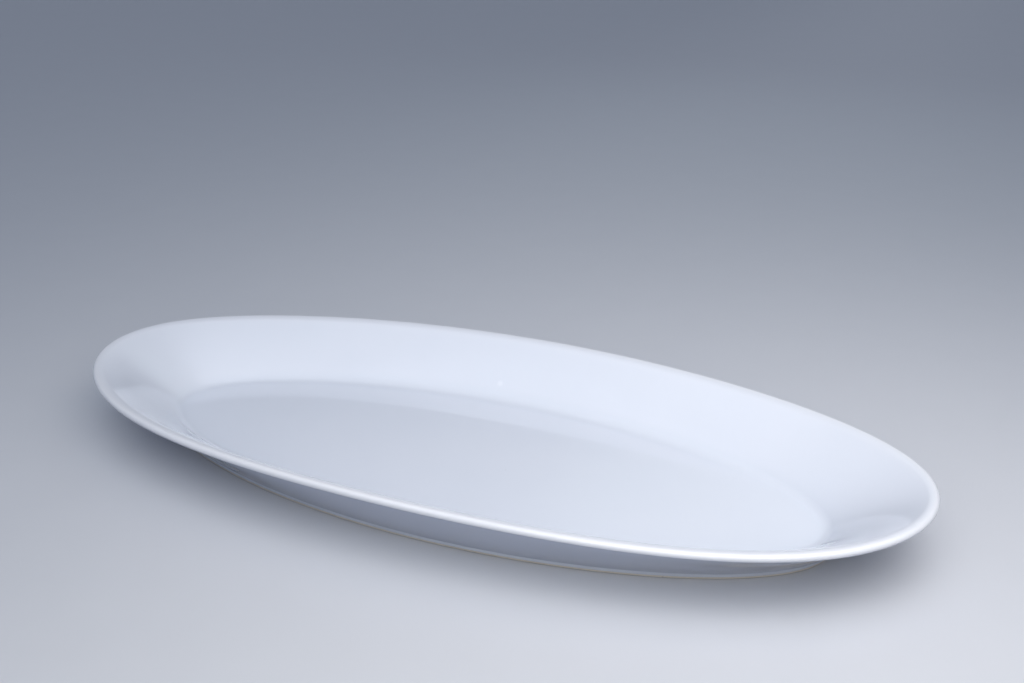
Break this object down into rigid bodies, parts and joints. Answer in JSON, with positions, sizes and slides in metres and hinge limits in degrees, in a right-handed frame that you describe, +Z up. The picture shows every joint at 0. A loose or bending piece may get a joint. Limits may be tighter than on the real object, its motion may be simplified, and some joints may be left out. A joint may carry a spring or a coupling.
{
  "type": "oval fish platter",
  "caption": "Long oval serving platter of white glazed porcelain with a flat well, a flared wall, a lip rolled outwards and a low foot ring, for serving a whole fish.",
  "frame": {"origin": "on the table plane, under the middle of the well", "axes": "+X along the platter's length, +Y across it, +Z up out of the well"},
  "size_m": [0.6, 0.256, 0.05],
  "materials": {
    "porcelain": "matte",
    "glaze": "polished"
  },
  "bodies": {
    "root": {"porcelain_body": "porcelain", "upper_glaze": "glaze", "base_glaze": "glaze"}
  },
  "joints": []
}
